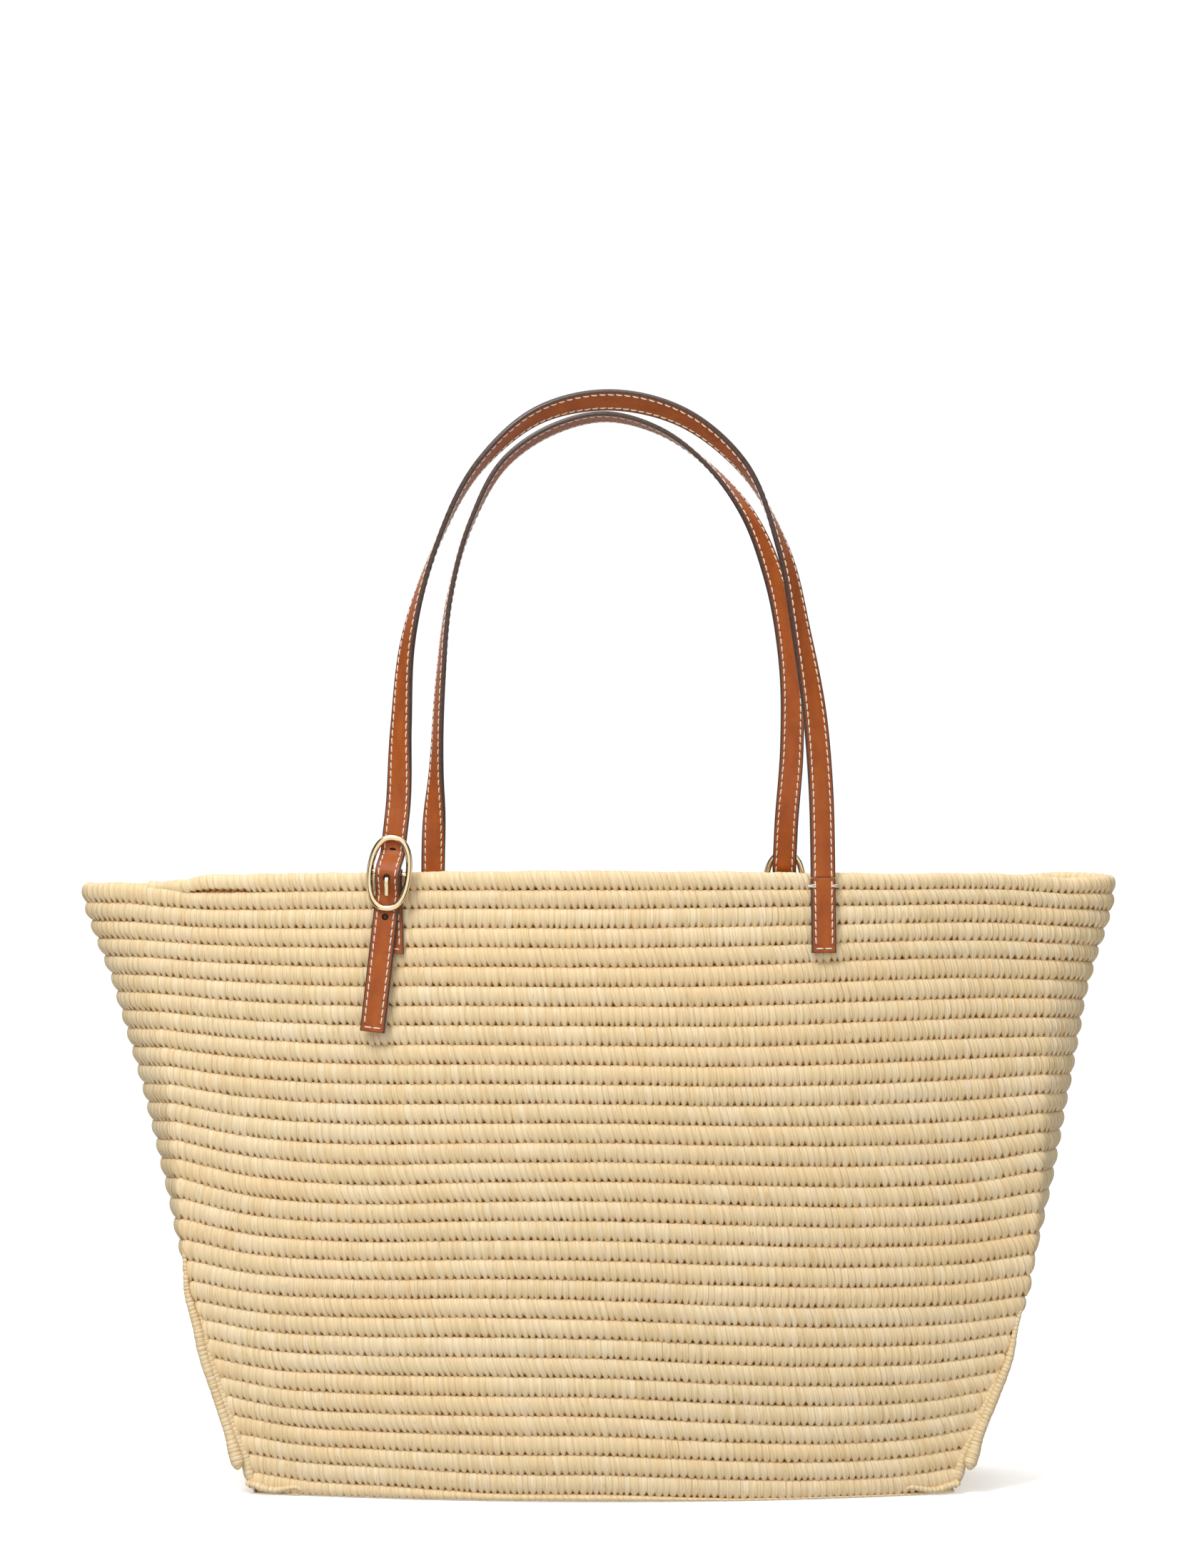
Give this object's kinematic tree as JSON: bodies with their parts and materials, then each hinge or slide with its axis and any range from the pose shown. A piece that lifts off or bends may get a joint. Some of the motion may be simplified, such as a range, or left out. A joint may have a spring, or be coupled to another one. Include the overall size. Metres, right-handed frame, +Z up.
{
  "type": "beach bag",
  "caption": "Wide coiled straw basket bag with an open mouth and two tall leather shoulder straps, each buckled to a sewn tab on one side.",
  "frame": {"origin": "on the ground under the middle of the base", "axes": "+Z up, -Y towards the front, +X to the right of somebody who faces the front"},
  "size_m": [0.5932, 0.1718, 0.6196],
  "materials": {
    "straw": "matte coiled palm leaf",
    "straw_binding": "matte palm leaf wrapping",
    "leather": "smooth tan leather, painted edges",
    "leather_lining": "smooth tan leather lining",
    "thread": "waxed cream thread",
    "brass": "polished gold plate"
  },
  "bodies": {
    "basket": {"basket_base": "straw", "basket_front_wall": "straw", "basket_rear_wall": "straw_binding", "basket_left_gusset": "straw", "basket_right_gusset": "straw", "rim_coil": "straw", "piping_front_left": "straw_binding", "corner_ear_front_left": "straw_binding", "piping_front_right": "straw_binding", "corner_ear_front_right": "straw_binding", "piping_rear_left": "straw_binding", "corner_ear_rear_left": "straw_binding", "piping_rear_right": "straw_binding", "corner_ear_rear_right": "straw_binding", "front_buckle_tab": "leather", "front_sewn_end": "leather", "front_thread_tack_left": "thread", "front_thread_tack_right": "thread", "rear_buckle_tab": "leather", "rear_sewn_end": "leather", "rear_thread_tack_left": "thread", "rear_thread_tack_right": "thread"},
    "front_buckle": {"front_buckle_ring": "brass", "front_strap_tail": "leather"},
    "front_prong": {"front_prong": "brass"},
    "front_handle": {"front_strap_outer_leather": "leather", "front_strap_lining": "leather_lining"},
    "rear_buckle": {"rear_buckle_ring": "brass", "rear_strap_tail": "leather"},
    "rear_prong": {"rear_prong": "brass"},
    "rear_handle": {"rear_strap_outer_leather": "leather", "rear_strap_lining": "leather_lining"}
  },
  "joints": [
    {"name": "front_handle_tip_in", "type": "hinge", "parent": "basket", "child": "front_buckle", "pos_m": [-0.11912, -0.07333, 0.34943], "axis": [0.9995, 0.027, -0.0157], "range_deg": [-15, 0]},
    {"name": "front_handle_fold_out", "type": "hinge", "parent": "front_buckle", "child": "front_handle", "pos_m": [-0.11561, -0.06877, 0.37553], "axis": [0.9922, 0.0082, -0.1245], "range_deg": [0, 120]},
    {"name": "front_prong_swing", "type": "hinge", "parent": "front_buckle", "child": "front_prong", "pos_m": [-0.11912, -0.07333, 0.34943], "axis": [0.9818, -0.1586, -0.1043], "range_deg": [-6, 2]},
    {"name": "rear_handle_tip_in", "type": "hinge", "parent": "basket", "child": "rear_buckle", "pos_m": [0.10706, 0.07507, 0.33841], "axis": [-0.9996, -0.0187, 0.0227], "range_deg": [-15, 0]},
    {"name": "rear_handle_fold_out", "type": "hinge", "parent": "rear_buckle", "child": "rear_handle", "pos_m": [0.10771, 0.06995, 0.36463], "axis": [-0.9947, 0.0059, -0.1029], "range_deg": [0, 120]},
    {"name": "rear_prong_swing", "type": "hinge", "parent": "rear_buckle", "child": "rear_prong", "pos_m": [0.10706, 0.07507, 0.33841], "axis": [-0.9885, 0.1421, 0.0522], "range_deg": [-6, 2]}
  ]
}
